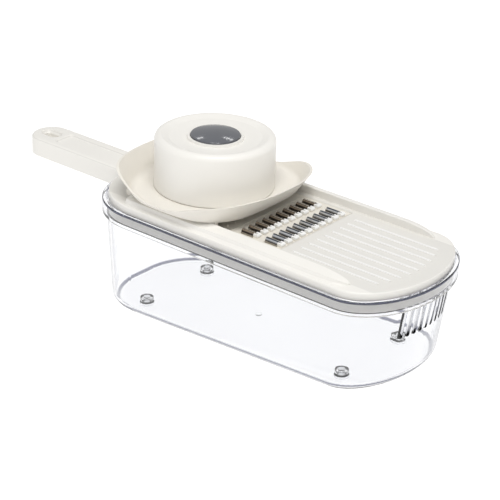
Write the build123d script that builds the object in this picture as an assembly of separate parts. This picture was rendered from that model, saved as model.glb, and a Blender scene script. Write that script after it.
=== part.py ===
from build123d import *
import os
from math import cos, pi, radians, sin

# Mandoline slicer on a clear catch tub.  Millimetres, +Z up, +X towards the nose, +Y to the left of
# someone who holds the handle and faces the nose.  The slicing deck leans down to the nose, so all of
# the deck, insert and guard is drawn in a deck frame (u along the deck, v across, h over the tub's rim
# plane) and set down on the tub at the end.  z = 0 is the table.

# ------------------------------------------------------------------ tub
TOP_LENGTH = 263.0          # rim, back to nose
TOP_WIDTH = 120.0           # rim, side to side
BACK_CORNER = 46.0          # plan radius of the rim's back corners
NOSE_DEPTH = 38.7           # the half-elliptical nose reaches this far past the straight sides
REAR_HEIGHT = 81.5          # table to rim plane at the back edge
DECK_TILT = 2.54            # degrees that the rim plane falls towards the nose
TUB_WALL = 2.2
RIM_WALL = 2.5              # wall of the outward-stepped collar
COLLAR_DEPTH = 10.6
LEDGE_THICK = 2.1           # shelf at the foot of the collar, where the deck's skirt sits
COLLAR_STEP = 2.6           # collar's outer face to body's outer face
BACK_DRAFT = 0.4            # how far the body leans in from top to floor, at the back
SIDE_DRAFT = 3.2
NOSE_DRAFT = 15.0
TUB_EDGE = 7.0              # rounding under the body
RIM_EDGE = 0.8
SLOT_COUNT = 9
SLOT_PITCH = 5.85
SLOT_WIDTH = 2.6
SLOT_DROP = 22.0            # length of a drain slot below the collar
GATE_RADIUS = 2.2           # injection gate mark in the middle of the floor

# ------------------------------------------------------------------ feet
FOOT_PROUD = 2.0            # feet stand this far below the tub's floor
FOOT_RADIUS = 5.1
FOOT_STEM = 3.4
FOOT_HEAD = 4.7
FOOT_HEAD_THICK = 3.0
FOOT_CUP = 2.4             # hollow in the head
FOOT_CUP_DEPTH = 4.0
FOOT_SPAN_X = 171.0
FOOT_SPAN_Y = 65.0
FOOT_REAR_X = 41.5          # rear feet, from the rim's back edge
FOOT_FIT = 0.05

# ------------------------------------------------------------------ deck
DECK_GAP = 0.9              # skirt to collar
DECK_BACK = 5.0             # rim's back edge to the deck's
SEAT_GAP = 0.2              # skirt's foot to ledge
DECK_TOP = 5.2              # plate's top over the rim plane
PLATE = 2.5
SKIRT_WALL = 2.0
DECK_EDGE = 1.0
RAIL_IN = 46.0              # half the channel between the rails
RAIL_TOP = 11.0
RAIL_RIDGE = 53.4           # crease between a rail's top band and its outer slope
RAIL_RIDGE_H = 8.9
RAIL_START = 40.0
RAIL_END = 228.0
RAIL_BOW = 26.0             # length of the leaf-shaped end
RIB_COUNT = 9
RIB_PITCH = 8.4
RIB_WIDTH = 1.0
RIB_HEIGHT = 0.5
RIB_START = 172.0
RIB_END = 247.7
RIB_RADIUS = 78.0           # the ribs' ends lie on an arc of this radius

# ------------------------------------------------------------------ handle
HANDLE_REACH = 97.0         # tip behind the rim's back edge
HANDLE_WIDTH = 30.0
HANDLE_TOP = 6.0
HANDLE_LOW = -7.6
HANDLE_EDGE = 2.2
HANDLE_WALL = 2.4
CHANNEL_WIDTH = 19.0
CHANNEL_DEPTH = 1.4
CHANNEL_SLOPE = 2.0         # the channel's sides lean in by this much
CHANNEL_START = 71.5        # behind the rim, where the hang hole's bevel ends
HANG_LENGTH = 13.0
HANG_WIDTH = 7.0
HANG_CENTRE = 82.5          # behind the rim
HANG_WALL = 2.6
HANG_BEVEL = 2.2
COVER = 2.0                 # plate that closes the hollow handle from below
COVER_GAP = 0.3
NOTCH_GAP = 0.6             # handle to the rim's notch
HANDLE_SCREWS = (-62.0, -12.0)

# ------------------------------------------------------------------ blade insert
INSERT_REAR = 102.0
INSERT_FRONT = 164.0
INSERT_HALF = 41.3
INSERT_PLATE = 2.4
INSERT_GAP = 0.3
INSERT_SEAT = 0.1
LEDGE = 3.2                 # width of the deck's ledge under the insert's edge
PAD = 2.5                   # extra deck under the ledge
INSERT_SKIRT = 1.8
INSERT_DROP = 4.6           # the insert's stiffening skirt below its plate
ROW_FRONTS = (139.2, 159.4) # open ends of the two rows of cutting arches
TOOTH_COUNT = 10
TOOTH_PITCH = 7.24
ARCH_LENGTH = 10.0
ARCH_WIDTH = 4.7
BLADE_TOP = 8.2
STEEL = 0.5
THROAT_GAP = 0.6            # arch to throat, behind and in front
BLADE_TAIL = 6.4            # flat strip behind the arches
TOOTH_WIDTH = 4.5
TOOTH_LENGTH = 3.4
TOOTH_TOP = 7.7
TOOTH_NOTCH = 1.5
STAKE_RADIUS = 0.9
STAKE_HEAD = 1.6
STAKE_FIT = 0.05
STAKE_PITCH = 14.48
RIDGE_U = 122.6
NUB_U = 116.0
NUB_PITCH = 7.24

# ------------------------------------------------------------------ guard
GUARD_U = 71.0              # widest place of the tray
GUARD_REAR = 45.5           # floor's outline, behind and before the widest place
GUARD_FRONT = 54.5
GUARD_HALF = 56.3
FLARE_REAR = 8.5            # how far the walls lean out at the wall's full height
FLARE_FRONT = 11.5
FLARE_SIDE = 9.5
GUARD_TOP = 25.0            # full height of the walls
GUARD_CREST = 28.0          # highest place of the rim, at the back
GUARD_LOW_RIM = 13.6        # the rim dips to this where the tray crosses the rails
GUARD_GAP = 0.3             # tray to rails
GUARD_WALL = 1.6
GUARD_FLOOR = 1.7
GUARD_COVE = 5.0            # rounding inside, between floor and walls
FLOOR_REAR_POWER = 2.35     # squareness of the floor's and the rim's outlines, rear and front
FLOOR_FRONT_POWER = 3.2
RIM_REAR_POWER = 2.25
RIM_FRONT_POWER = 2.45
RUNNER_LENGTH = 80.0
RUNNER_WIDTH = 2.8
RUNNER_GAP = 0.5
RUNNER_FOOT = 7.6
KNOB_U = 75.8
WELL_RADIUS = 30.0
WELL_WALL = 2.0
WELL_TOP = 29.0
WELL_ROOF = 1.6
BOSS_RADIUS = 5.1
BOSS_TOP = 33.5

# ------------------------------------------------------------------ knob
KNOB_RADIUS = 41.8
KNOB_TOP = 50.6
KNOB_WALL = 2.2
KNOB_EDGE = 4.2
KNOB_GAP = 0.2              # knob's foot to the tray's floor
DISH = 2.6                  # depth of the dished top
RING_WIDTH = 2.2
RING_RISE = 1.5
SLEEVE_FOOT = 36.0
KNOB_SCREW_RADIUS = 35.3
KNOB_BOSS = 2.9
KNOB_PAD = 2.2

# ------------------------------------------------------------------ plunger
BUTTON_RADIUS = 17.2
BUTTON_GAP = 0.4
BUTTON_EDGE_H = 50.7
BUTTON_CROWN = 52.9
BUTTON_WALL = 1.8
BUTTON_EDGE = 0.9
BUTTON_SKIRT = 43.6
STEM_RADIUS = 3.9
STEM_FIT = 0.06
SOCKET_WALL = 1.6
FOOD_PLATE_RADIUS = 29.0
FOOD_PLATE_LOW = 24.0
FOOD_PLATE = 2.2
PRONG_LENGTH = 5.4
PRONG_RADIUS = 0.8
PRONG_FIT = 0.03
PRONG_RINGS = ((19.0, 8), (10.0, 4))
SPRING_RADIUS = 6.4
SPRING_WIRE = 0.9
SPRING_TURNS = 5.0
SPRING_CLEAR = 0.15

# ------------------------------------------------------------------ screws
SCREW_RADIUS = 1.25
SCREW_HEAD = 2.5
SCREW_HEAD_THICK = 1.5
SCREW_LENGTH = 9.0
SCREW_FIT = 0.05
RECESS_GAP = 0.3

DECK = Location((0, 0, REAR_HEIGHT), (0, DECK_TILT, 0))
FLOOR_LOW = FOOT_PROUD
FLOOR_TOP = FLOOR_LOW + TUB_WALL
LEDGE_TOP = LEDGE_THICK - COLLAR_DEPTH
SKIRT_FOOT = LEDGE_TOP + SEAT_GAP
DECK_INSET = RIM_WALL + DECK_GAP
PLATE_LOW = DECK_TOP - PLATE
INSERT_LOW = DECK_TOP - INSERT_PLATE
TRAY_LOW = RAIL_TOP + GUARD_GAP
TRAY_TOP = TRAY_LOW + GUARD_FLOOR
KNOB_FOOT = TRAY_TOP + KNOB_GAP
TOOTH_HALF_SPAN = (TOOTH_COUNT - 1) * TOOTH_PITCH / 2
THROAT_HALF = TOOTH_HALF_SPAN + ARCH_WIDTH / 2 + THROAT_GAP
TOOTH_PLACES = [k * TOOTH_PITCH - TOOTH_HALF_SPAN for k in range(TOOTH_COUNT)]


def spread(count, pitch):
    """Places of count things at a pitch, centred on zero."""
    return [(k - (count - 1) / 2) * pitch for k in range(count)]


def plan(back, nose, half, corner, depth):
    """Plan outline: straight sides, rounded back corners and a half-elliptical nose."""
    shoulder = nose - depth
    with BuildLine() as line:
        Line((shoulder, -half), (back + corner, -half))
        CenterArc((back + corner, corner - half), corner, 270, -90)
        Line((back, corner - half), (back, half - corner))
        CenterArc((back + corner, half - corner), corner, 180, -90)
        Line((back + corner, half), (shoulder, half))
        EllipticalCenterArc((shoulder, 0), depth, half, -90, arc_size=180)
    return make_face(line.line)


def rim_plan(inset):
    """The rim's outline, moved in by inset."""
    return plan(inset, TOP_LENGTH - inset, TOP_WIDTH / 2 - inset, BACK_CORNER - inset, NOSE_DEPTH - inset)


def deck_plan(inset):
    """The deck's outline, moved in by inset."""
    edge = DECK_INSET + inset
    return plan(DECK_BACK + inset, TOP_LENGTH - edge, TOP_WIDTH / 2 - edge, BACK_CORNER - edge,
                NOSE_DEPTH - edge)


def slab(face, low, high):
    """A plan face in the deck frame as a solid from low to high."""
    return extrude(Pos(0, 0, low) * face, high - low)


def block(u0, u1, v0, v1, h0, h1):
    """A box between two corners."""
    return Pos((u0 + u1) / 2, (v0 + v1) / 2, (h0 + h1) / 2) * Box(u1 - u0, v1 - v0, h1 - h0)


def rod(u, v, low, high, radius):
    """A round bar that stands on the deck frame."""
    return Pos(u, v, (low + high) / 2) * Cylinder(radius, high - low)


def turned(points, u):
    """A solid turned about the vertical through u, from (radius, height) corners."""
    outline = Polyline(*[(r, 0, h) for r, h in points], close=True)
    return Pos(u, 0, 0) * revolve(make_face(outline), Axis.Z)


def screw(u, v, seat, length=SCREW_LENGTH):
    """A pan-head screw driven upwards, with its head under the seat."""
    head = rod(u, v, seat - SCREW_HEAD_THICK, seat, SCREW_HEAD)
    cross = block(u - 1.5, u + 1.5, v - 0.3, v + 0.3, seat - SCREW_HEAD_THICK, seat - SCREW_HEAD_THICK / 2)
    cross += block(u - 0.3, u + 0.3, v - 1.5, v + 1.5, seat - SCREW_HEAD_THICK, seat - SCREW_HEAD_THICK / 2)
    return head + rod(u, v, seat, seat + length, SCREW_RADIUS) - cross


# ------------------------------------------------------------------ tub and feet
def tub_body(inset, low):
    """Lofted body whose walls lean in towards the floor; inset moves every wall inwards."""
    top = plan(COLLAR_STEP + inset, TOP_LENGTH - inset, TOP_WIDTH / 2 - COLLAR_STEP - inset,
               BACK_CORNER - COLLAR_STEP - inset, NOSE_DEPTH - inset)
    share = (REAR_HEIGHT - low) / (REAR_HEIGHT - FLOOR_LOW)
    side = COLLAR_STEP + SIDE_DRAFT * share + inset
    floor = plan(COLLAR_STEP + BACK_DRAFT * share + inset, TOP_LENGTH - NOSE_DRAFT * share - inset,
                 TOP_WIDTH / 2 - side, BACK_CORNER - COLLAR_STEP - inset,
                 NOSE_DEPTH - (NOSE_DRAFT - SIDE_DRAFT) * share / 2 - inset)
    return loft([Pos(0, 0, low) * floor, Pos(0, 0, REAR_HEIGHT) * top], ruled=True)


def lowest_edges(solid):
    return solid.edges().group_by(Axis.Z)[0]


def foot_places():
    rows = (FOOT_REAR_X, FOOT_REAR_X + FOOT_SPAN_X)
    return [(x, y * FOOT_SPAN_Y / 2) for x in rows for y in (-1, 1)]


def make_tub():
    above_ledge = DECK * block(-50, TOP_LENGTH + 50, -TOP_WIDTH, TOP_WIDTH, LEDGE_TOP, 60)
    body = tub_body(0, FLOOR_LOW)
    body = fillet(lowest_edges(body), TUB_EDGE) - above_ledge
    collar = slab(rim_plan(0), -COLLAR_DEPTH, 0)
    collar = fillet(collar.edges().group_by(Axis.Z)[-1], RIM_EDGE)
    collar = fillet(collar.edges().group_by(Axis.Z)[0], RIM_EDGE)
    collar -= slab(rim_plan(RIM_WALL), LEDGE_TOP, 1)
    cavity = tub_body(TUB_WALL, FLOOR_TOP)
    cavity = fillet(lowest_edges(cavity), TUB_EDGE - TUB_WALL)
    tub = body + DECK * collar - cavity
    half = HANDLE_WIDTH / 2 + NOTCH_GAP
    tub -= DECK * block(-5, BACK_CORNER / 2, -half, half, HANDLE_LOW - NOTCH_GAP, 5)
    nose_x = TOP_LENGTH
    slot_top = REAR_HEIGHT - TOP_LENGTH * sin(radians(DECK_TILT)) - COLLAR_DEPTH
    for y in spread(SLOT_COUNT, SLOT_PITCH):
        cut = block(nose_x - 40, nose_x + 10, y - SLOT_WIDTH / 2, y + SLOT_WIDTH / 2,
                    slot_top - SLOT_DROP + SLOT_WIDTH / 2, slot_top)
        end = Pos(nose_x - 15, y, slot_top - SLOT_DROP + SLOT_WIDTH / 2) * Rot(0, 90, 0)
        tub -= cut + end * Cylinder(SLOT_WIDTH / 2, 50)
    for x, y in foot_places():
        tub -= rod(x, y, 0, FLOOR_TOP + 1, FOOT_STEM + FOOT_FIT)
    middle = FOOT_REAR_X + FOOT_SPAN_X / 2 - 10
    return tub + rod(middle, 0, FLOOR_TOP, FLOOR_TOP + 0.5, GATE_RADIUS)


def make_foot(x, y):
    """Push-in foot: a disc on the table, a stem through the floor and a cupped head inside."""
    disc = fillet(rod(x, y, 0, FOOT_PROUD, FOOT_RADIUS).edges().group_by(Axis.Z)[0], 0.6)
    stem = rod(x, y, FOOT_PROUD, FLOOR_TOP, FOOT_STEM)
    top = FLOOR_TOP + FOOT_HEAD_THICK
    head = fillet(rod(x, y, FLOOR_TOP, top, FOOT_HEAD).edges().group_by(Axis.Z)[-1], 0.4)
    return disc + stem + head - rod(x, y, top - FOOT_CUP_DEPTH, top + 1, FOOT_CUP)


# ------------------------------------------------------------------ deck and handle
def rail_section(u, size):
    """A rail's cross-section at u, shrunk towards the foot of its inner wall: a straight inner wall,
    a falling top band, a crease and a scooped outer slope."""
    foot = TOP_WIDTH / 2 - DECK_INSET - DECK_EDGE
    corners = [(RAIL_IN, RAIL_TOP - 0.5), (RAIL_IN + 0.6, RAIL_TOP), (RAIL_RIDGE, RAIL_RIDGE_H),
               ((RAIL_RIDGE + foot) / 2 - 0.3, (RAIL_RIDGE_H + DECK_TOP) / 2 - 0.6), (foot, DECK_TOP)]
    top = [(u, RAIL_IN + (v - RAIL_IN) * size, DECK_TOP + (h - DECK_TOP) * size) for v, h in corners]
    low = DECK_TOP - 1
    return make_face(Polyline(*top, (u, top[-1][1], low), (u, RAIL_IN, low), close=True))


def rail(side):
    """One guide rail: blunt rounded start, straight run and a nose end that closes in like a leaf."""
    bow_start = RAIL_END - RAIL_BOW
    run = loft([rail_section(RAIL_START + 5, 1), rail_section(bow_start, 1)], ruled=True)
    start = loft([rail_section(RAIL_START, 0.55), rail_section(RAIL_START + 2, 0.86),
                  rail_section(RAIL_START + 5, 1)], ruled=True)
    bow = loft([rail_section(bow_start + RAIL_BOW * sin(t), max(cos(t), 0.06))
                for t in (0, 0.35, 0.7, 1.0, 1.25, pi / 2)], ruled=True)
    shape = run + start + bow
    return shape if side > 0 else mirror(shape, Plane.XZ)


def feed_ribs():
    """Low ribs along the feed plate; their nose ends lie on an arc."""
    ribs = None
    for v in spread(RIB_COUNT, RIB_PITCH):
        end = RIB_END - RIB_RADIUS + (RIB_RADIUS ** 2 - v ** 2) ** 0.5
        bar = block(RIB_START, end, v - RIB_WIDTH / 2, v + RIB_WIDTH / 2, DECK_TOP - 0.5,
                    DECK_TOP + RIB_HEIGHT)
        ribs = bar if ribs is None else ribs + bar
    return ribs


def stadium(u, length, width):
    """A slot shape along u, centred on u."""
    return Pos(u, 0, 0) * SlotOverall(length, width)


def handle_plan(inset):
    """The handle's outline from its round tip to inside the deck, moved in by inset."""
    front = DECK_BACK + SKIRT_WALL
    half = HANDLE_WIDTH / 2 - inset
    centre = HANDLE_WIDTH / 2 - HANDLE_REACH
    with BuildLine() as line:
        Line((front - inset, -half), (centre, -half))
        CenterArc((centre, 0), half, 270, -180)
        Line((centre, half), (front - inset, half))
        Line((front - inset, half), (front - inset, -half))
    return make_face(line.line)


def channel_plan(front, inset):
    """Rounded rectangle from behind the hang hole to front, moved in by inset."""
    length = CHANNEL_START + front - 2 * inset
    middle = (front - CHANNEL_START) / 2
    return Pos(middle, 0) * RectangleRounded(length, CHANNEL_WIDTH - 2 * inset, 4 - inset)


def make_handle_shell():
    """Hollow handle, open underneath, with a walled hang hole and a shallow channel along its top."""
    shell = slab(handle_plan(0), HANDLE_LOW, HANDLE_TOP)
    shell = fillet(shell.edges().group_by(Axis.Z)[-1], HANDLE_EDGE)
    hollow = slab(handle_plan(HANDLE_WALL), HANDLE_LOW - 1, HANDLE_TOP - CHANNEL_DEPTH - HANDLE_WALL)
    hang_wall = slab(stadium(-HANG_CENTRE, HANG_LENGTH + 2 * HANG_WALL, HANG_WIDTH + 2 * HANG_WALL),
                     HANDLE_LOW + COVER + COVER_GAP, HANDLE_TOP)
    shell -= hollow - hang_wall
    for u in HANDLE_SCREWS:
        shell += rod(u, 0, HANDLE_LOW + COVER, HANDLE_TOP - CHANNEL_DEPTH - 1, SCREW_RADIUS + 2)
    channel_end = DECK_BACK + HANDLE_WIDTH
    channel = loft([Pos(0, 0, HANDLE_TOP - CHANNEL_DEPTH) * channel_plan(channel_end, CHANNEL_SLOPE),
                    Pos(0, 0, HANDLE_TOP + 0.05) * channel_plan(channel_end, 0)], ruled=True)
    bevel = slab(stadium(-HANG_CENTRE, HANG_LENGTH + 2 * HANG_BEVEL, HANG_WIDTH + 2 * HANG_BEVEL),
                 HANDLE_TOP - HANG_BEVEL, HANDLE_TOP)
    bevel = chamfer(bevel.edges().group_by(Axis.Z)[0], HANG_BEVEL - 0.1)
    hole = slab(stadium(-HANG_CENTRE, HANG_LENGTH, HANG_WIDTH), HANDLE_LOW - 1, HANDLE_TOP + 1)
    shell = shell - channel - bevel - hole
    for u in HANDLE_SCREWS:
        shell -= rod(u, 0, HANDLE_LOW, HANDLE_LOW + COVER + SCREW_LENGTH, SCREW_RADIUS + SCREW_FIT)
    return shell


def make_handle_cover():
    """Plate that closes the handle's hollow from below."""
    cover = slab(handle_plan(HANDLE_WALL + COVER_GAP), HANDLE_LOW, HANDLE_LOW + COVER)
    cover -= slab(stadium(-HANG_CENTRE, HANG_LENGTH + 1, HANG_WIDTH + 1), HANDLE_LOW - 1, 0)
    for u in HANDLE_SCREWS:
        cover -= rod(u, 0, HANDLE_LOW - 1, HANDLE_LOW + COVER, SCREW_RADIUS + RECESS_GAP)
        cover -= rod(u, 0, HANDLE_LOW - 1, HANDLE_LOW + SCREW_HEAD_THICK, SCREW_HEAD + RECESS_GAP)
    return cover


def make_handle_screws():
    seat = HANDLE_LOW + SCREW_HEAD_THICK
    return Compound(children=[screw(u, 0, seat) for u in HANDLE_SCREWS])


def make_deck():
    plate = slab(deck_plan(0), SKIRT_FOOT, DECK_TOP)
    plate = fillet(plate.edges().group_by(Axis.Z)[-1], DECK_EDGE)
    deck = plate - slab(deck_plan(SKIRT_WALL), SKIRT_FOOT - 1, PLATE_LOW)
    half = INSERT_HALF + INSERT_GAP
    pad = block(INSERT_REAR - INSERT_GAP - LEDGE, INSERT_FRONT + INSERT_GAP + LEDGE, -half - LEDGE,
                half + LEDGE, PLATE_LOW - PAD, DECK_TOP - 0.5)
    deck = deck + pad + rail(1) + rail(-1) + feed_ribs()
    deck -= block(INSERT_REAR - INSERT_GAP, INSERT_FRONT + INSERT_GAP, -half, half,
                  INSERT_LOW - INSERT_SEAT, DECK_TOP + 1)
    deck -= block(INSERT_REAR - INSERT_GAP + LEDGE, INSERT_FRONT + INSERT_GAP - LEDGE, LEDGE - half,
                  half - LEDGE, PLATE_LOW - PAD - 1, DECK_TOP)
    mouth = slab(handle_plan(HANDLE_WALL), HANDLE_LOW - 1, HANDLE_TOP - CHANNEL_DEPTH - HANDLE_WALL)
    return deck - mouth + make_handle_shell()


# ------------------------------------------------------------------ blade insert
def row_throat(front):
    """Ends of a throat along the deck, for the row whose arches open at front."""
    return front - ARCH_LENGTH - THROAT_GAP, front + THROAT_GAP


def tail_strip(front):
    """Ends of a blade's flat strip."""
    return front - ARCH_LENGTH - BLADE_TAIL, front - ARCH_LENGTH


def stake_places(front):
    rear, near = tail_strip(front)
    count = int(2 * TOOTH_HALF_SPAN / STAKE_PITCH) + 1
    return [((rear + near) / 2 - THROAT_GAP, v) for v in spread(count, STAKE_PITCH)]


def make_insert_frame():
    low = INSERT_LOW
    frame = block(INSERT_REAR, INSERT_FRONT, -INSERT_HALF, INSERT_HALF, low, DECK_TOP)
    inner = LEDGE + INSERT_GAP
    skirt = block(INSERT_REAR + inner, INSERT_FRONT - inner, inner - INSERT_HALF, INSERT_HALF - inner,
                  low - INSERT_DROP, low)
    inner += INSERT_SKIRT
    skirt -= block(INSERT_REAR + inner, INSERT_FRONT - inner, inner - INSERT_HALF, INSERT_HALF - inner,
                   low - INSERT_DROP - 1, low)
    frame += skirt
    for front in ROW_FRONTS:
        rear, near = row_throat(front)
        frame -= block(rear, near, -THROAT_HALF, THROAT_HALF, low - 1, DECK_TOP + 1)
        for v in TOOTH_PLACES:
            half = TOOTH_WIDTH / 2
            tooth = block(near - 0.2, near + TOOTH_LENGTH, v - half, v + half, low, TOOTH_TOP)
            tooth = chamfer(tooth.edges().group_by(Axis.Z)[-1].group_by(Axis.X)[-1], 0.8)
            notch = block(near - 1, near + TOOTH_LENGTH / 2, v - TOOTH_NOTCH / 2, v + TOOTH_NOTCH / 2,
                          TOOTH_TOP - 1.2, TOOTH_TOP + 1)
            frame += tooth - notch
        for u, v in stake_places(front):
            frame += rod(u, v, low - STEEL, low + 0.5, STAKE_RADIUS)
            frame += rod(u, v, low - STEEL - 0.6, low - STEEL, STAKE_HEAD)
    frame += block(RIDGE_U - 0.6, RIDGE_U + 0.6, -THROAT_HALF, THROAT_HALF, DECK_TOP - 0.5, DECK_TOP + 0.4)
    for v in spread(TOOTH_COUNT, NUB_PITCH):
        frame += Pos(NUB_U, v, DECK_TOP) * Sphere(0.8)
    return frame


def arch_section(inset, foot):
    """Half-ellipse on two legs, as a face across the deck."""
    half = ARCH_WIDTH / 2 - inset
    crown = BLADE_TOP - INSERT_LOW - 1.4 - inset
    base = INSERT_LOW + 1.4
    with BuildLine(Plane.YZ) as line:
        Line((half, foot), (half, base))
        EllipticalCenterArc((0, base), half, crown, 0, arc_size=180)
        Line((-half, base), (-half, foot))
        Line((-half, foot), (half, foot))
    return make_face(line.line)


def make_blade(front):
    """Comb of forward-opening arches on a flat strip, stamped from one sheet."""
    rear, near = tail_strip(front)
    low = INSERT_LOW - STEEL
    blade = block(rear - THROAT_GAP, near - THROAT_GAP, -THROAT_HALF + 0.3, THROAT_HALF - 0.3, low,
                  INSERT_LOW)
    for u, v in stake_places(front):
        blade -= rod(u, v, low - 1, INSERT_LOW + 1, STAKE_RADIUS + STAKE_FIT)
    leg = INSERT_LOW + 0.6
    for v in TOOTH_PLACES:
        shell = extrude(Pos(near, v, 0) * arch_section(0, leg), ARCH_LENGTH, dir=(1, 0, 0))
        shell -= extrude(Pos(near - 1, v, 0) * arch_section(STEEL, leg - 1), ARCH_LENGTH + 2, dir=(1, 0, 0))
        back = extrude(Pos(near, v, 0) * arch_section(0, low), STEEL, dir=(1, 0, 0))
        half = ARCH_WIDTH / 2
        root = block(near - THROAT_GAP - 0.1, near + STEEL, v - half, v + half, low, INSERT_LOW)
        blade = blade + shell + back + root
    return blade


# ------------------------------------------------------------------ guard
def oval(rear, front, half, rear_power, front_power):
    """Squarish oval about the tray's widest place: |x/a|^n + |y/b|^n = 1, n for each half its own."""
    count = 48
    points = []
    for k in range(count):
        t = 2 * pi * k / count
        ahead = cos(t) > 0
        power = front_power if ahead else rear_power
        x = (front if ahead else -rear) * abs(cos(t)) ** (2 / power)
        y = (half if sin(t) > 0 else -half) * abs(sin(t)) ** (2 / power)
        points.append((GUARD_U + x, y))
    return make_face(Spline(*points, periodic=True))


def tray_block(low, inset):
    """Solid inside the tray's flaring walls, from low to above the crest, moved in by inset."""
    shapes = []
    for h in (low, GUARD_CREST + 1):
        share = (h - TRAY_LOW) / (GUARD_TOP - TRAY_LOW)
        blend = min(share, 1)
        shapes.append(Pos(0, 0, h) * oval(
            GUARD_REAR + FLARE_REAR * share - inset, GUARD_FRONT + FLARE_FRONT * share - inset,
            GUARD_HALF + FLARE_SIDE * share - inset,
            FLOOR_REAR_POWER + (RIM_REAR_POWER - FLOOR_REAR_POWER) * blend,
            FLOOR_FRONT_POWER + (RIM_FRONT_POWER - FLOOR_FRONT_POWER) * blend))
    return loft(shapes, ruled=True)


def rim_cutter():
    """Everything above the tray's rim, which dips where the tray crosses the rails."""
    low, high = GUARD_LOW_RIM, GUARD_TOP
    shape = [(-1.4, GUARD_CREST), (-1.0, GUARD_CREST - 0.3), (-0.74, GUARD_CREST - 0.6),
             (-0.45, low + 6.4), (-0.2, low + 1.1), (0, low), (0.2, low + 1.1), (0.42, low + 5.4),
             (0.62, high - 1.9), (0.82, high + 0.3), (1.0, high + 2.2), (1.3, high + 3.0)]
    reach = {True: GUARD_FRONT + FLARE_FRONT, False: GUARD_REAR + FLARE_REAR}
    points = [(GUARD_U + share * reach[share > 0], h) for share, h in shape]
    with BuildLine() as line:
        rim = Spline(*points)
        Line(rim @ 1, ((rim @ 1).X, GUARD_CREST + 20))
        Line(((rim @ 1).X, GUARD_CREST + 20), ((rim @ 0).X, GUARD_CREST + 20))
        Line(((rim @ 0).X, GUARD_CREST + 20), rim @ 0)
    side_view = Plane((0, 0, 0), x_dir=(1, 0, 0), z_dir=(0, -1, 0)) * make_face(line.line)
    return Pos(0, TOP_WIDTH, 0) * extrude(side_view, 2 * TOP_WIDTH, dir=(0, -1, 0))


def knob_screw_places():
    return [(KNOB_U + KNOB_SCREW_RADIUS * cos(radians(a)), KNOB_SCREW_RADIUS * sin(radians(a)))
            for a in (90, 210, 330)]


def make_guard_tray():
    inner = tray_block(TRAY_TOP, GUARD_WALL)
    inner = fillet(inner.edges().group_by(Axis.Z)[0], GUARD_COVE)
    tray = tray_block(TRAY_LOW, 0) - inner - rim_cutter()
    tray += rod(KNOB_U, 0, TRAY_LOW, WELL_TOP, WELL_RADIUS + WELL_WALL)
    tray -= rod(KNOB_U, 0, TRAY_LOW - 1, WELL_TOP - WELL_ROOF, WELL_RADIUS)
    tray += rod(KNOB_U, 0, WELL_TOP - 1, BOSS_TOP, BOSS_RADIUS)
    tray -= rod(KNOB_U, 0, 0, BOSS_TOP + 1, STEM_RADIUS + STEM_FIT)
    outside = RAIL_IN - RUNNER_GAP
    for v in (-outside, outside - RUNNER_WIDTH):
        runner = block(KNOB_U - RUNNER_LENGTH / 2, KNOB_U + RUNNER_LENGTH / 2, v, v + RUNNER_WIDTH,
                       RUNNER_FOOT, TRAY_LOW + 0.5)
        tray += runner
    for u, v in knob_screw_places():
        tray += rod(u, v, TRAY_TOP - 0.5, TRAY_TOP + KNOB_PAD, SCREW_HEAD + 1.2)
        tray -= rod(u, v, TRAY_LOW - 1, TRAY_TOP + KNOB_PAD + 1, SCREW_RADIUS + RECESS_GAP)
        tray -= rod(u, v, TRAY_LOW - 1, TRAY_TOP, SCREW_HEAD + RECESS_GAP)
    return tray


def make_knob_cap():
    """Hollow round knob: rounded shoulder, dished top, ring and sleeve for the button."""
    r = KNOB_RADIUS
    blank = rod(KNOB_U, 0, KNOB_FOOT, KNOB_TOP, r)
    blank = fillet(blank.edges().group_by(Axis.Z)[-1], KNOB_EDGE)
    blank = fillet(blank.edges().group_by(Axis.Z)[0], 1.0)
    sleeve = BUTTON_RADIUS + BUTTON_GAP
    ring = sleeve + RING_WIDTH
    crest = r - KNOB_EDGE - 0.6
    floor = KNOB_TOP - DISH
    rise = floor + RING_RISE
    above = KNOB_TOP + 1
    dish = turned([(0, above), (crest, above), (crest, KNOB_TOP), (crest - 1.6, KNOB_TOP - 0.5),
                   (crest - 5, floor + 0.9), (ring + 3, floor), (ring, floor), (ring - 0.5, rise),
                   (0, rise)], KNOB_U)
    roof = KNOB_TOP - DISH - KNOB_WALL
    hollow = rod(KNOB_U, 0, KNOB_FOOT - 1, roof, r - KNOB_WALL)
    hollow = fillet(hollow.edges().group_by(Axis.Z)[-1], KNOB_EDGE - 1)
    hollow -= rod(KNOB_U, 0, SLEEVE_FOOT, roof + 1, ring)
    cap = blank - dish - hollow
    for u, v in knob_screw_places():
        cap += rod(u, v, TRAY_TOP + KNOB_PAD + KNOB_GAP, roof + 0.5, KNOB_BOSS)
        cap -= rod(u, v, KNOB_FOOT - 1, TRAY_TOP + KNOB_PAD + SCREW_LENGTH, SCREW_RADIUS + SCREW_FIT)
    return cap - rod(KNOB_U, 0, KNOB_FOOT, KNOB_TOP + 1, sleeve)


def make_knob_screws():
    return Compound(children=[screw(u, v, TRAY_TOP) for u, v in knob_screw_places()])


# ------------------------------------------------------------------ plunger
SOCKET_TOP = BUTTON_EDGE_H - BUTTON_WALL


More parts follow.
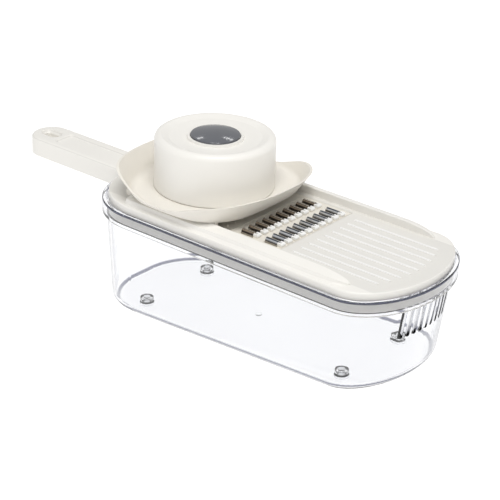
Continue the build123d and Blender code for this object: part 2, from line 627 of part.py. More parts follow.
def make_button():
    """Domed thumb button with a skirt, and a socket that takes the stem."""
    r = BUTTON_RADIUS
    button = rod(KNOB_U, 0, BUTTON_SKIRT, BUTTON_EDGE_H, r)
    button = fillet(button.edges().group_by(Axis.Z)[-1], BUTTON_EDGE)
    flat = r - BUTTON_EDGE
    rise = BUTTON_CROWN - BUTTON_EDGE_H
    dome = (flat ** 2 + rise ** 2) / (2 * rise)
    cap = rod(KNOB_U, 0, BUTTON_EDGE_H - BUTTON_EDGE, BUTTON_CROWN + 1, flat)
    button += cap & Pos(KNOB_U, 0, BUTTON_CROWN - dome) * Sphere(dome)
    button -= rod(KNOB_U, 0, BUTTON_SKIRT - 1, BUTTON_EDGE_H - BUTTON_WALL, r - BUTTON_WALL)
    button += rod(KNOB_U, 0, BUTTON_SKIRT, BUTTON_EDGE_H - BUTTON_WALL / 2, STEM_RADIUS + SOCKET_WALL)
    return button - rod(KNOB_U, 0, BUTTON_SKIRT - 1, SOCKET_TOP, STEM_RADIUS + STEM_FIT)


def make_stem():
    top = FOOD_PLATE_LOW + FOOD_PLATE
    stem = chamfer(rod(KNOB_U, 0, top, SOCKET_TOP, STEM_RADIUS).edges().group_by(Axis.Z)[-1], 0.6)
    return stem - rod(KNOB_U, 0, top - 1, FOOD_PLATE_LOW + SCREW_HEAD_THICK + SCREW_LENGTH,
                      SCREW_RADIUS + SCREW_FIT)


def prong_places():
    places = []
    for radius, count in PRONG_RINGS:
        turns = [2 * pi * (k + 0.5) / count for k in range(count)]
        places += [(KNOB_U + radius * cos(turn), radius * sin(turn)) for turn in turns]
    return places


def make_food_plate():
    """Disc that presses the food down, stiffened by a rib ring."""
    low, top = FOOD_PLATE_LOW, FOOD_PLATE_LOW + FOOD_PLATE
    plate = fillet(rod(KNOB_U, 0, low, top, FOOD_PLATE_RADIUS).edges(), 0.8)
    for u, v in prong_places():
        plate -= rod(u, v, low - 1, top - 0.5, PRONG_RADIUS + PRONG_FIT)
    plate -= rod(KNOB_U, 0, low - 1, top + 1, SCREW_RADIUS + RECESS_GAP)
    return plate - rod(KNOB_U, 0, low - 1, low + SCREW_HEAD_THICK, SCREW_HEAD + RECESS_GAP)


def make_prongs():
    """Pointed steel pins set into the food plate."""
    low, top = FOOD_PLATE_LOW - PRONG_LENGTH, FOOD_PLATE_LOW + FOOD_PLATE - 0.5
    pins = []
    for u, v in prong_places():
        point = Pos(u, v, low + 0.9) * Cone(0.15, PRONG_RADIUS, 1.8)
        pins.append(rod(u, v, low + 1.8, top, PRONG_RADIUS) + point)
    return Compound(children=pins)


def make_spring():
    """Return spring between the well's roof and the underside of the button's socket."""
    low = WELL_TOP + SPRING_WIRE / 2 + SPRING_CLEAR
    high = BUTTON_EDGE_H - BUTTON_WALL - SPRING_WIRE / 2 - SPRING_CLEAR
    path = Helix((high - low) / SPRING_TURNS, high - low, SPRING_RADIUS)
    wire = sweep((path ^ 0) * Circle(SPRING_WIRE / 2), path=path, is_frenet=True)
    return Pos(KNOB_U, 0, low) * wire


# ------------------------------------------------------------------ assembly
def build_all():
    foot_names = ("foot_rear_right", "foot_rear_left", "foot_front_right", "foot_front_left")
    nodes = {"tub": make_tub()}
    for name, (x, y) in zip(foot_names, foot_places()):
        nodes[name] = make_foot(x, y)
    on_deck = {
        "deck": make_deck(), "handle_cover": make_handle_cover(), "handle_screws": make_handle_screws(),
        "insert_frame": make_insert_frame(), "blade_rear_row": make_blade(ROW_FRONTS[0]),
        "blade_front_row": make_blade(ROW_FRONTS[1]),
        "guard_tray": make_guard_tray(), "knob_cap": make_knob_cap(), "knob_screws": make_knob_screws(),
        "push_button": make_button(), "plunger_stem": make_stem(), "food_plate": make_food_plate(),
        "food_prongs": make_prongs(), "plate_screw": screw(KNOB_U, 0, FOOD_PLATE_LOW + SCREW_HEAD_THICK),
        "return_spring": make_spring(),
    }
    for name, shape in on_deck.items():
        nodes[name] = DECK * shape
    return nodes


def centre_shift(nodes):
    """Puts the origin under the middle of the whole slicer's box."""
    boxes = [shape.bounding_box() for shape in nodes.values()]
    return -(min(b.min.X for b in boxes) + max(b.max.X for b in boxes)) / 2


if __name__ == "__main__":
    os.makedirs("parts", exist_ok=True)
    model = build_all()
    shift = centre_shift(model)
    print("origin shift along X:", round(shift, 3))
    for node, solid in model.items():
        export_step(Pos(shift, 0, 0) * solid, f"parts/{node}.step")
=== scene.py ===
import math

import bpy
import numpy as np
from bpy.props import FloatProperty, FloatVectorProperty, PointerProperty
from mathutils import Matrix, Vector


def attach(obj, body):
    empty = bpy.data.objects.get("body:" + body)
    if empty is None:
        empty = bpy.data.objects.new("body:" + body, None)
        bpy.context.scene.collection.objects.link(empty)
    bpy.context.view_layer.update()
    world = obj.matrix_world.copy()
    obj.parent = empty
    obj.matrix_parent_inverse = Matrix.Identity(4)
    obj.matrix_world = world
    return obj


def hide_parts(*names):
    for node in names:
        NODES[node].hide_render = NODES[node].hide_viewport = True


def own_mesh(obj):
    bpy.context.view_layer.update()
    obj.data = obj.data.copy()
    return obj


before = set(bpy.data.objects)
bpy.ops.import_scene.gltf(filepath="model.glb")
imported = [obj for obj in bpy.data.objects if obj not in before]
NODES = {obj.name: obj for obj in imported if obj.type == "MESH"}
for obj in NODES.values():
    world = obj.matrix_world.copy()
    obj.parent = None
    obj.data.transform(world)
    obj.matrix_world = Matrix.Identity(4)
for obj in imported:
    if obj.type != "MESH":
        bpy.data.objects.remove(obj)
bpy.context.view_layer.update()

bl_info = {
    "name": "Mandoline Slicer",
    "version": (1, 0, 0),
    "blender": (4, 5, 0),
    "location": "View3D > Sidebar > Slicer",
    "description": "Finishes a mandoline slicer on its clear catch tub",
    "category": "Object",
}

MM = 0.001

# The deck's own frame, in mm: u along it from the rim's back edge, v across, h above the rim.
TILT = math.radians(2.54)
SHIFT = -82.733
RIM_HEIGHT = 81.5
UP = (math.sin(TILT), 0.0, math.cos(TILT))

DECK_TOP = 5.2
RAIL_FOOT = 46.0              # inner walls of the guide rails
RIB_COUNT = 9
RIB_PITCH = 8.4
RIB_START = 171.6
RIB_END = 248.0
RIB_ARC = 78.0                # radius of the arc on which the ribs end
RIB_SINK = 0.3                # how far a rib's underside lies in the plate
BEAD_POWER = 60               # high, so a bead keeps its width almost to its ends
BLADE_PITCH = 7.24            # from one cutting arch to the next
LANE_SHIFT = 20.0             # whole pitches added, so that every arch has a positive place
KNOB_U = 75.8
SPRING_LOW = 29.15            # where the spring stands on the tray's well
SPRING_HIGH = 48.75           # where it meets the button
SPRING_TURNS = 5.0
SPRING_RADIUS = 6.4
SPRING_WIRE = 0.9
# The next five values place the clear tub's painted shade: the deep edge colour painted in the
# lower edge's round, along the top of the rim and on the drain slots' cut walls.
TUB_BAND = (2.3, 4.3)         # heights between which the tub's lower edge rounds
RIM_BAND = (-1.5, 0.5)        # heights of the top of the tub's rim
NOSE_X = 140.0                # the drain slots lie beyond this
SLOT_HALF_SPAN = 26.0         # and this far to each side
SLOT_HEIGHTS = (-36.0, -9.6)  # and between these heights

GRAIN_SCALE = 2600.0          # grain of the matt plastics, in waves per metre
GRAIN_DEPTH = 0.00006         # and its depth, in metres
PATCHES = (0.3, 0.7)          # stops between which a noise turns into patches of colour
MIX_FIRST, MIX_SECOND, MIX_RESULT = 6, 7, 2  # a colour mix node's sockets

SENSOR_WIDTH = 36.0
CAMERA_TARGET = (0.0256, 0.0, 0.0504)
LIGHT_TARGET = (0.0, 0.0, 0.08)
KEY_PLACE, KEY_SIZE = (0.5, -0.45, 1.55), (0.8, 0.35)
WINDOW_PLACES = {"window_left": (-0.92, 0.62, 1.1), "window_right": (-0.46, 1.0, 1.1)}
WINDOW_SIZE = (0.22, 0.06)
FLOOR_HALF = 12.0


# ---------------------------------------------------------------- shapes
def deck_point(u, v, h):
    """Room coordinates of deck-frame points: turned by the deck's tilt and lifted to the rim."""
    c, s = math.cos(TILT), math.sin(TILT)
    x = u * c + h * s + SHIFT
    z = RIM_HEIGHT - u * s + h * c
    return np.stack(np.broadcast_arrays(x, v, z), axis=-1) * MM


def add_piece(name, points, faces, body, material):
    mesh = bpy.data.meshes.new(name)
    mesh.from_pydata(points.reshape(-1, 3), [], faces)
    mesh.materials.append(material)
    mesh.shade_smooth()
    piece = bpy.data.objects.new(name, mesh)
    bpy.context.scene.collection.objects.link(piece)
    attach(piece, body)
    return piece


def tube_faces(index, flip=False):
    """Quads round each tube and a cap at both its ends. The vertex numbers are given by tube, by
    ring along it and by place in the ring."""
    turned = np.roll(index, -1, axis=2)
    quads = np.stack([index[:, :-1], turned[:, :-1], turned[:, 1:], index[:, 1:]], axis=-1)
    faces = quads.reshape(-1, 4).tolist() + index[:, 0, ::-1].tolist() + index[:, -1].tolist()
    return [face[::-1] for face in faces] if flip else faces


def beads(start, end, across, width, height):
    """Raised lines on the plate, one per entry of the arrays. Along each line s runs 0 to 1 and
    round its section t runs 0 to 2 pi. The half width and height are scaled by
    (1 - |2s - 1|^p)^(1/2), p large, so the ends round off. The top of the section is a half
    ellipse, and its underside a flatter one in the plate."""
    along, round_ = 40, 14
    s = (1 - np.cos(np.linspace(0.04, 0.96, along) * np.pi)) / 2
    t = np.linspace(0, 2 * np.pi, round_, endpoint=False)
    taper = np.sqrt(1 - np.abs(2 * s - 1) ** BEAD_POWER)
    u = start[:, None, None] + (end - start)[:, None, None] * s[None, :, None]
    v = across[:, None, None] + width / 2 * (taper[:, None] * np.cos(t))[None]
    rise = np.where(np.sin(t) > 0, height, RIB_SINK) * np.sin(t)
    h = DECK_TOP + taper[None, :, None] * rise[None, None, :]
    u, v, h = np.broadcast_arrays(u, v, h)
    index = np.arange(u.size).reshape(-1, along, round_)
    return deck_point(u, v, h), tube_faces(index, flip=True)


def coil(low, high, turns, radius, wire):
    """Compression spring: the centre line is a circle of the given radius carried up, with its
    first and last half turns flat, and the wire is a circle in the plane across that line."""
    along, round_ = 260, 12
    s = np.linspace(0, 1, along)
    angle = 2 * np.pi * turns * s
    share = np.clip((s * turns - 0.5) / (turns - 1), 0, 1)
    climb = low + (high - low) * share
    centre = np.stack([radius * np.cos(angle), radius * np.sin(angle), climb], -1)
    outward = np.stack([np.cos(angle), np.sin(angle), np.zeros_like(s)], -1)
    forward = np.gradient(centre, axis=0)
    forward /= np.linalg.norm(forward, axis=1, keepdims=True)
    upward = np.cross(outward, forward)
    t = np.linspace(0, 2 * np.pi, round_, endpoint=False)[None, :, None]
    across = np.cos(t) * outward[:, None] + np.sin(t) * upward[:, None]
    ring = centre[:, None] + wire / 2 * across
    points = deck_point(KNOB_U + ring[..., 0], ring[..., 1], ring[..., 2])
    return points, tube_faces(np.arange(along * round_).reshape(1, along, round_))


# ---------------------------------------------------------------- materials
class Graph:
    """Short way to lay out one material's nodes."""

    def __init__(self, name):
        self.material = bpy.data.materials.new(name)
        self.material.use_nodes = True
        self.tree = self.material.node_tree
        self.shader = self.tree.nodes["Principled BSDF"]
        coords = self.add("ShaderNodeTexCoord")
        self.place = coords.outputs["Object"]
        self.facing = coords.outputs["Normal"]

    def add(self, kind, **values):
        node = self.tree.nodes.new(kind)
        for name, value in values.items():
            setattr(node, name, value)
        return node

    def join(self, source, target):
        self.tree.links.new(source, target)

    def put(self, value, socket):
        if isinstance(value, bpy.types.NodeSocket):
            self.join(value, socket)
        else:
            socket.default_value = value

    def noise(self, scale, detail=2.0, stretch=(1, 1, 1)):
        node = self.add("ShaderNodeTexNoise")
        node.inputs["Scale"].default_value = scale
        node.inputs["Detail"].default_value = detail
        spread = self.add("ShaderNodeMapping")
        spread.inputs["Scale"].default_value = stretch
        self.join(self.place, spread.inputs["Vector"])
        self.join(spread.outputs["Vector"], node.inputs["Vector"])
        return node.outputs["Fac"]

    def calc(self, operation, a, b=0.0):
        node = self.add("ShaderNodeMath", operation=operation)
        self.put(a, node.inputs[0])
        self.put(b, node.inputs[1])
        return node.outputs["Value"]

    def axis(self, vector, direction):
        """How far a vector reaches along a direction."""
        node = self.add("ShaderNodeVectorMath", operation="DOT_PRODUCT")
        self.join(vector, node.inputs[0])
        node.inputs[1].default_value = direction
        return node.outputs["Value"]

    def spread(self, value, low, high, start=0.0, end=1.0):
        """Maps start..end to low..high, clamped."""
        node = self.add("ShaderNodeMapRange")
        ends = {"From Min": start, "From Max": end, "To Min": low, "To Max": high}
        for name, number in ends.items():
            node.inputs[name].default_value = number
        self.join(value, node.inputs["Value"])
        return node.outputs["Result"]

    def between(self, value, low, high, soft):
        """1 where value lies between low and high, 0 outside, with soft borders."""
        rise = self.spread(value, 0, 1, low - soft, low + soft)
        fall = self.spread(value, 1, 0, high - soft, high + soft)
        return self.calc("MULTIPLY", rise, fall)

    def ramp(self, value, stops):
        node = self.add("ShaderNodeValToRGB")
        line = node.color_ramp
        while len(line.elements) < len(stops):
            line.elements.new(0.5)
        for element, (place, colour) in zip(line.elements, stops):
            element.position = place
            element.color = (*colour, 1)
        self.join(value, node.inputs["Fac"])
        return node.outputs["Color"]

    def mix(self, factor, first, second):
        node = self.add("ShaderNodeMix", data_type="RGBA")
        self.put(factor, node.inputs["Factor"])
        for value, place in ((first, MIX_FIRST), (second, MIX_SECOND)):
            constant = not isinstance(value, bpy.types.NodeSocket)
            self.put((*value, 1) if constant else value, node.inputs[place])
        return node.outputs[MIX_RESULT]

    def patches(self, noise, first, second):
        """Two colours in soft patches."""
        return self.ramp(noise, tuple(zip(PATCHES, (first, second))))

    def edge_on(self, blend, most, start, end):
        """Grows from 0 to most as the surface turns away from the viewer."""
        weight = self.add("ShaderNodeLayerWeight")
        weight.inputs["Blend"].default_value = blend
        return self.spread(weight.outputs["Facing"], 0, most, start, end)

    def height(self):
        """Height above the rim plane, in mm."""
        flat = self.axis(self.place, tuple(c / MM for c in UP))
        offset = SHIFT * UP[0] + RIM_HEIGHT * UP[2]
        return self.calc("SUBTRACT", flat, offset)

    def grain(self, strength):
        """Fine even roughness of a moulded face."""
        self.bump(self.noise(GRAIN_SCALE), strength, GRAIN_DEPTH)

    def bump(self, height, strength, distance):
        node = self.add("ShaderNodeBump")
        node.inputs["Strength"].default_value = strength
        node.inputs["Distance"].default_value = distance
        self.join(height, node.inputs["Height"])
        self.join(node.outputs["Normal"], self.shader.inputs["Normal"])

    def set(self, **values):
        for name, value in values.items():
            self.put(value, self.shader.inputs[name.replace("_", " ")])


def shade(colour, share):
    return tuple(c * share for c in colour)


def moulded_plastic(name, colour, rough=0.42, grain=0.12):
    """Matt moulded plastic: a fine spark-eroded grain and a faint wash of shade."""
    g = Graph(name)
    g.set(Base_Color=g.patches(g.noise(18, 3), shade(colour, 0.985), colour), IOR=1.46)
    g.set(Roughness=g.spread(g.noise(160), rough - 0.05, rough + 0.05))
    g.grain(grain)
    return g.material


def deck_plastic(name, colour, plate):
    """The deck's plastic: smooth on rails, rim and handle, and greyer with a coarser grain on the
    feed plate between the rails; the greyer tone is partly the plate's duller finish and partly
    painted shade that sets off the ribs."""
    g = Graph(name)
    aside = g.calc("ABSOLUTE", g.axis(g.place, (0, 1 / MM, 0)))
    inside = g.calc("MULTIPLY", g.spread(aside, 1, 0, RAIL_FOOT - 0.3, RAIL_FOOT),
                    g.between(g.height(), DECK_TOP - 0.3, DECK_TOP + 0.2, 0.1))
    wash = g.patches(g.noise(18, 3), shade(colour, 0.985), colour)
    # Plate tone: partly its duller finish, partly painted shade that sets off the ribs.
    plate_tone_and_shade = g.patches(g.noise(30, 3), shade(plate, 0.985), plate)
    rough = g.spread(g.noise(160), 0.34, 0.42)
    g.set(Base_Color=g.mix(inside, wash, plate_tone_and_shade), IOR=1.46)
    g.set(Roughness=g.calc("ADD", rough, g.calc("MULTIPLY", inside, 0.12)))
    g.grain(0.12)
    return g.material


def insert_plastic(name, colour, white):
    """The insert's plastic: warm on its plate, partly its own tone and partly painted shade from
    the guard above it, and whiter on the tops of the teeth, a painted highlight.
    """
    g = Graph(name)
    # Painted highlight: the tops of the teeth turn white where light falls on them.
    tops = g.spread(g.height(), 0, 1, DECK_TOP + 0.5, DECK_TOP + 1.4)
    wash = g.patches(g.noise(24, 3), shade(colour, 0.97), colour)
    g.set(Base_Color=g.mix(tops, wash, white), IOR=1.46)
    g.set(Roughness=g.spread(g.noise(200), 0.36, 0.46))
    g.grain(0.1)
    return g.material


def clear_shell(name, tint, edge):
    """Clear moulded plastic of the tub. Painted shade darkens it where the wall is seen edge on:
    along the top of the rim, in the round of the lower edge, on the cut walls of the drain slots,
    and towards glancing angles, in place of the darker refractions clear plastic shows there."""
    g = Graph(name)
    height = g.height()
    level = g.axis(g.place, (0, 0, 1 / MM))
    ahead = g.axis(g.place, (1 / MM, 0, 0))
    up = g.axis(g.facing, (0, 0, 1))
    aside = g.axis(g.place, (0, 1 / MM, 0))
    forward = g.calc("ABSOLUTE", g.axis(g.facing, (1, 0, 0)))
    # Painted shade masks: the top of the rim, the round of the lower edge, the slot walls and
    # glancing angles take the edge colour.
    rim = g.calc("MULTIPLY", g.between(height, *RIM_BAND, 0.15), g.spread(up, 1, 0, 0.9, 0.98))
    flat = g.calc("ABSOLUTE", up)
    low = g.calc("MULTIPLY", g.between(level, *TUB_BAND, 0.4), g.spread(flat, 0.97, 0, 0.93, 0.98))
    cut = g.spread(ahead, 0, 1, NOSE_X, NOSE_X + 2)
    for share in (g.spread(forward, 1, 0, 0.45, 0.6), g.between(height, *SLOT_HEIGHTS, 0.1),
                  g.between(aside, -SLOT_HALF_SPAN, SLOT_HALF_SPAN, 0.3),
                  g.spread(height, 0.95, 0.4, -34, -24)):
        cut = g.calc("MULTIPLY", cut, share)
    grazing_shade = g.edge_on(0.25, 0.95, 0.38, 0.74)
    painted_edge_shade = g.calc("MAXIMUM", g.calc("MAXIMUM", rim, low), g.calc("MAXIMUM", cut, grazing_shade))
    wash = g.patches(g.noise(10, 2, (1, 1, 0.12)), tint, shade(tint, 0.985))
    g.set(Base_Color=g.mix(painted_edge_shade, wash, edge), IOR=1.45, Transmission_Weight=1.0)
    g.set(Roughness=g.spread(g.noise(90), 0.01, 0.03))
    return g.material


def clear_button(name, tint, edge):
    """Thick clear plastic of a foot, with painted shade towards its sides, where it is seen edge
    on.
    """
    g = Graph(name)
    grazing_shade = g.edge_on(0.35, 0.85, 0.35, 0.9)
    wash = g.patches(g.noise(60), tint, shade(tint, 0.96))
    g.set(Base_Color=g.mix(grazing_shade, wash, edge), IOR=1.45, Transmission_Weight=0.85)
    g.set(Roughness=g.spread(g.noise(200), 0.03, 0.08))
    return g.material


def polished_plastic(name, colour):
    """Glossy moulded plastic of the button."""
    g = Graph(name)
    g.set(Base_Color=g.patches(g.noise(40), shade(colour, 0.92), colour))
    g.set(Roughness=g.spread(g.noise(220), 0.10, 0.16), Coat_Weight=0.3, Coat_Roughness=0.06)
    g.bump(g.noise(500), 0.01, 0.00005)
    return g.material


def stamped_blade(name, plate, stops):
    """Bright stamped strip: each arch carries lengthwise streaks of painted reflection and painted
    highlight, bands standing in for the room mirrored in the curved steel; the flat strip is plain.
    """
    g = Graph(name)
    pitches = g.axis(g.place, (0, 1 / MM / BLADE_PITCH, 0))
    lane = g.calc("FRACT", g.calc("ADD", pitches, LANE_SHIFT))
    raised = g.spread(g.height(), 0, 1, DECK_TOP + 0.5, DECK_TOP + 1.1)
    hair = g.noise(900, 2, (0.1, 1, 1))
    reflection_band = g.calc("ADD", lane, g.spread(hair, -0.02, 0.02))
    g.set(Base_Color=g.mix(raised, plate, g.ramp(reflection_band, stops)), Metallic=0.9)
    g.set(Roughness=g.spread(hair, 0.16, 0.3))
    return g.material


def bright_steel(name, colour, rough):
    """Plain bright steel of screws, prongs and spring."""
    g = Graph(name)
    g.set(Base_Color=g.patches(g.noise(120, 3), shade(colour, 0.85), colour), Metallic=1.0)
    g.set(Roughness=g.spread(g.noise(400), rough - 0.05, rough + 0.06))
    return g.material


def pale_floor(name, glow):
    """Matt floor that gives light of its own, so that shadows on it stay faint."""
    g = Graph(name)
    g.set(Base_Color=(0.18, 0.18, 0.18, 1), Emission_Color=(1, 1, 1, 1), Emission_Strength=glow,
          Roughness=0.9, Specular_IOR_Level=0.1)
    return g.material


def wear(names, material):
    """Gives carried CAD nodes one material."""
    for name in names:
        mesh = NODES[name].data
        mesh.materials.clear()
        mesh.materials.append(material)


# ---------------------------------------------------------------- sizes and colours
def colour_of(name, description, default):
    return FloatVectorProperty(name=name, description=description, subtype="COLOR", size=3,
                               min=0, max=1, default=default)


class SlicerSizes(bpy.types.PropertyGroup):
    rib_width: FloatProperty(name="Rib width", description="Width of a feed rib", default=1.4 * MM,
                             unit="LENGTH", precision=4)
    rib_height: FloatProperty(name="Rib height", description="Height of a feed rib",
                              default=0.8 * MM, unit="LENGTH", precision=4)


class SlicerColours(bpy.types.PropertyGroup):
    cream: colour_of("Cream", "Deck, handle, knob and the plastic inside it", (0.875, 0.855, 0.808))
    # Tray: the cream darkened and warmed, painted shade standing in for the shade inside the food
    # guard's tray.
    tray: colour_of("Tray", "Food guard's tray", (0.83, 0.796, 0.728))
    # Plate: greyer than the cream, partly the plate's duller finish and partly painted shade that
    # sets off the ribs.
    plate: colour_of("Plate", "Feed plate between the rails", (0.775, 0.758, 0.716))
    # Insert: warmer and darker than the cream, partly the plastic's own tone and partly painted
    # shade from the guard above.
    insert: colour_of("Insert", "Plate that carries the blades", (0.80, 0.765, 0.69))
    # White: whiter than the cream, a painted highlight on the tops of the teeth and on the feed
    # ribs.
    white: colour_of("White", "Teeth and ribs", (0.93, 0.925, 0.91))
    clear: colour_of("Clear", "Tub walls and feet", (0.968, 0.972, 0.985))
    # Painted shade: the deep colour painted on the tub and feet where they are seen edge on.
    edge: colour_of("Clear edge", "Tub and feet where seen edge on", (0.03, 0.034, 0.07))
    grey: colour_of("Grey", "Push button", (0.12, 0.125, 0.14))
    steel: colour_of("Steel", "Prongs, spring and screws", (0.6, 0.6, 0.62))


class SlicerStage(bpy.types.PropertyGroup):
    azimuth: FloatProperty(name="Azimuth", description="Camera's turn about the slicer",
                           default=math.radians(39.49), subtype="ANGLE")
    elevation: FloatProperty(name="Elevation", description="Camera's height angle",
                             default=math.radians(24.13), subtype="ANGLE")
    distance: FloatProperty(name="Distance", description="Camera to its target", default=1.2167,
                            unit="LENGTH")
    lens: FloatProperty(name="Lens", description="Focal length in millimetres", default=127.17)
    sky: FloatProperty(name="Sky", description="Strength of the even light", default=0.50)
    key: FloatProperty(name="Key", description="Key softbox", default=15.0, unit="POWER")
    window: FloatProperty(name="Windows", description="Two small softboxes behind", default=0.32,
                          unit="POWER")
    glow: FloatProperty(name="Floor glow", description="Light given by the floor", default=1.06)


# ---------------------------------------------------------------- operators
class SLICER_OT_tub(bpy.types.Operator):
    """Gives the tub and its feet their clear plastic, with painted shade where they are seen edge
    on
    """
    bl_idname = "slicer.tub"
    bl_label = "Catch tub"

    def execute(self, context):
        hues = context.scene.slicer_colours
        wear(["tub"], clear_shell("clear_tub_plastic", tuple(hues.clear), tuple(hues.edge)))
        feet = [name for name in NODES if name.startswith("foot_")]
        wear(feet, clear_button("clear_foot_plastic", tuple(hues.clear), tuple(hues.edge)))
        return {"FINISHED"}


class SLICER_OT_deck(bpy.types.Operator):
    """Finishes the deck and its handle and lays the feed ribs"""
    bl_idname = "slicer.deck"
    bl_label = "Deck"

    def execute(self, context):
        hues, sizes = context.scene.slicer_colours, context.scene.slicer_sizes
        wear(["deck"], deck_plastic("cream_deck_plastic", tuple(hues.cream), tuple(hues.plate)))
        wear(["handle_cover"], moulded_plastic("cream_cover_plastic", tuple(hues.cream)))
        wear(["handle_screws"], bright_steel("screw_steel", tuple(hues.steel), 0.3))
        across = (np.arange(RIB_COUNT) - (RIB_COUNT - 1) / 2) * RIB_PITCH
        end = RIB_END - RIB_ARC + np.sqrt(RIB_ARC ** 2 - across ** 2)
        start = np.full(RIB_COUNT, RIB_START)
        points, faces = beads(start, end, across, sizes.rib_width / MM, sizes.rib_height / MM)
        # The ribs take the white colour, a painted highlight on their tops, whiter than the cream
        # deck they are moulded with.
        add_piece("feed_ribs", points, faces, "deck",
                  moulded_plastic("rib_plastic_painted_highlight", tuple(hues.white), 0.3, 0.05))
        return {"FINISHED"}


class SLICER_OT_insert(bpy.types.Operator):
    """Finishes the blade insert and its two rows of cutting arches"""
    bl_idname = "slicer.insert"
    bl_label = "Blade insert"

    def execute(self, context):
        hues = context.scene.slicer_colours
        plastic = insert_plastic("insert_plastic", tuple(hues.insert), tuple(hues.white))
        wear(["insert_frame"], plastic)
        strip = (0.5, 0.46, 0.4)
        # Painted reflections for the rear arches: brown and very deep bands stand in for the shaded
        # guard mirrored in them, with pale painted highlights.
        brown, black, glint = (0.10, 0.075, 0.055), (0.02, 0.017, 0.015), (0.9, 0.86, 0.8)
        wear(["blade_rear_row"], stamped_blade("rear_blade_steel", strip, (
            (0.0, brown), (0.24, black), (0.33, (0.45, 0.37, 0.3)), (0.39, black), (0.46, glint),
            (0.52, brown), (0.62, black), (0.70, (0.6, 0.52, 0.44)), (0.77, black), (1.0, brown))))
        # Painted reflections for the front arches: cool grey and very deep bands with white painted
        # highlights stand in for the room mirrored in the steel.
        blue, white = (0.16, 0.18, 0.22), (0.9, 0.92, 0.95)
        wear(["blade_front_row"], stamped_blade("front_blade_steel", strip, (
            (0.0, blue), (0.22, black), (0.31, white), (0.37, blue), (0.45, black), (0.53, white),
            (0.61, white), (0.68, black), (0.77, (0.5, 0.52, 0.56)), (1.0, black))))
        return {"FINISHED"}


class SLICER_OT_guard(bpy.types.Operator):
    """Finishes the food guard's tray and palm knob"""
    bl_idname = "slicer.guard"
    bl_label = "Food guard"

    def execute(self, context):
        hues = context.scene.slicer_colours
        # The tray's colour is the cream with painted shade.
        wear(["guard_tray"], moulded_plastic("tray_plastic_painted_shade", tuple(hues.tray)))
        wear(["knob_cap"], moulded_plastic("cream_knob_plastic", tuple(hues.cream), 0.38))
        wear(["knob_screws"], bright_steel("knob_screw_steel", tuple(hues.steel), 0.3))
        return {"FINISHED"}


class SLICER_OT_plunger(bpy.types.Operator):
    """Finishes the push button and the parts it drives"""
    bl_idname = "slicer.plunger"
    bl_label = "Plunger"

    def execute(self, context):
        hues = context.scene.slicer_colours
        wear(["push_button"], polished_plastic("grey_button_plastic", tuple(hues.grey)))
        wear(["plunger_stem", "food_plate"], moulded_plastic("inner_plastic", tuple(hues.cream)))
        wear(["food_prongs", "plate_screw"], bright_steel("prong_steel", tuple(hues.steel), 0.2))
        points, faces = coil(SPRING_LOW + SPRING_WIRE / 2, SPRING_HIGH - SPRING_WIRE / 2,
                             SPRING_TURNS, SPRING_RADIUS, SPRING_WIRE)
        steel = bright_steel("spring_steel", tuple(hues.steel), 0.22)
        spring = add_piece("coil_spring", points, faces, "guard", steel)
        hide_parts("return_spring")
        anchor = deck_point(np.float64(KNOB_U), 0.0, SPRING_LOW)
        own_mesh(spring)
        return {"FINISHED"}


def aim(thing, place, target):
    thing.location = place
    thing.rotation_euler = (Vector(target) - Vector(place)).to_track_quat("-Z", "Y").to_euler()


def softbox(name, place, size, power):
    lamp = bpy.data.lights.new(name, "AREA")
    lamp.shape = "RECTANGLE"
    lamp.size, lamp.size_y = size
    lamp.energy = power
    thing = bpy.data.objects.new(name, lamp)
    bpy.context.scene.collection.objects.link(thing)
    aim(thing, place, LIGHT_TARGET)


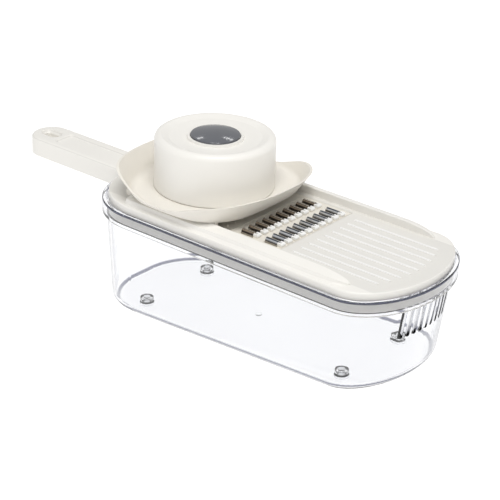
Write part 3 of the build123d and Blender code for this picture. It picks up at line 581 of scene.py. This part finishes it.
class SLICER_OT_stage(bpy.types.Operator):
    """Sets the pale floor, the soft light and the camera"""
    bl_idname = "slicer.stage"
    bl_label = "Stage"

    def execute(self, context):
        scene, values = context.scene, context.scene.slicer_stage
        scene.view_settings.view_transform = "Standard"
        target = Vector(CAMERA_TARGET)
        flat = math.cos(values.elevation)
        back = Vector((math.sin(values.azimuth) * flat, -math.cos(values.azimuth) * flat,
                       math.sin(values.elevation)))
        data = bpy.data.cameras.new("camera")
        data.sensor_width = SENSOR_WIDTH
        data.lens = values.lens
        camera = bpy.data.objects.new("camera", data)
        scene.collection.objects.link(camera)
        aim(camera, target + back * values.distance, target)
        scene.camera = camera
        world = bpy.data.worlds.new("studio")
        world.use_nodes = True
        sky = world.node_tree.nodes["Background"].inputs
        sky["Color"].default_value = (1, 1, 1, 1)
        sky["Strength"].default_value = values.sky
        scene.world = world
        mesh = bpy.data.meshes.new("floor")
        r = FLOOR_HALF
        mesh.from_pydata([(-r, -r, 0), (r, -r, 0), (r, r, 0), (-r, r, 0)], [], [(0, 1, 2, 3)])
        mesh.materials.append(pale_floor("pale_floor", values.glow))
        floor = bpy.data.objects.new("floor", mesh)
        scene.collection.objects.link(floor)
        softbox("key", KEY_PLACE, KEY_SIZE, values.key)
        for name, place in WINDOW_PLACES.items():
            softbox(name, place, WINDOW_SIZE, values.window)
        return {"FINISHED"}


class SLICER_PT_panel(bpy.types.Panel):
    bl_label = "Slicer"
    bl_idname = "SLICER_PT_panel"
    bl_space_type = "VIEW_3D"
    bl_region_type = "UI"
    bl_category = "Slicer"

    def draw(self, context):
        for kind in OPERATORS:
            self.layout.operator(kind.bl_idname)
        for group in (context.scene.slicer_sizes, context.scene.slicer_colours,
                      context.scene.slicer_stage):
            for key in group.bl_rna.properties.keys():
                if key not in ("rna_type", "name"):
                    self.layout.prop(group, key)


OPERATORS = (SLICER_OT_stage, SLICER_OT_tub, SLICER_OT_deck, SLICER_OT_insert, SLICER_OT_guard,
             SLICER_OT_plunger)
GROUPS = {"slicer_sizes": SlicerSizes, "slicer_colours": SlicerColours, "slicer_stage": SlicerStage}


def register():
    for kind in (*GROUPS.values(), *OPERATORS, SLICER_PT_panel):
        bpy.utils.register_class(kind)
    for name, kind in GROUPS.items():
        setattr(bpy.types.Scene, name, PointerProperty(type=kind))


def unregister():
    for name in GROUPS:
        delattr(bpy.types.Scene, name)
    for kind in reversed((*GROUPS.values(), *OPERATORS, SLICER_PT_panel)):
        bpy.utils.unregister_class(kind)


def main():
    register()
    bpy.ops.slicer.stage()
    bpy.ops.slicer.tub()
    bpy.ops.slicer.deck()
    bpy.ops.slicer.insert()
    bpy.ops.slicer.guard()
    bpy.ops.slicer.plunger()


if __name__ == "__main__":
    main()
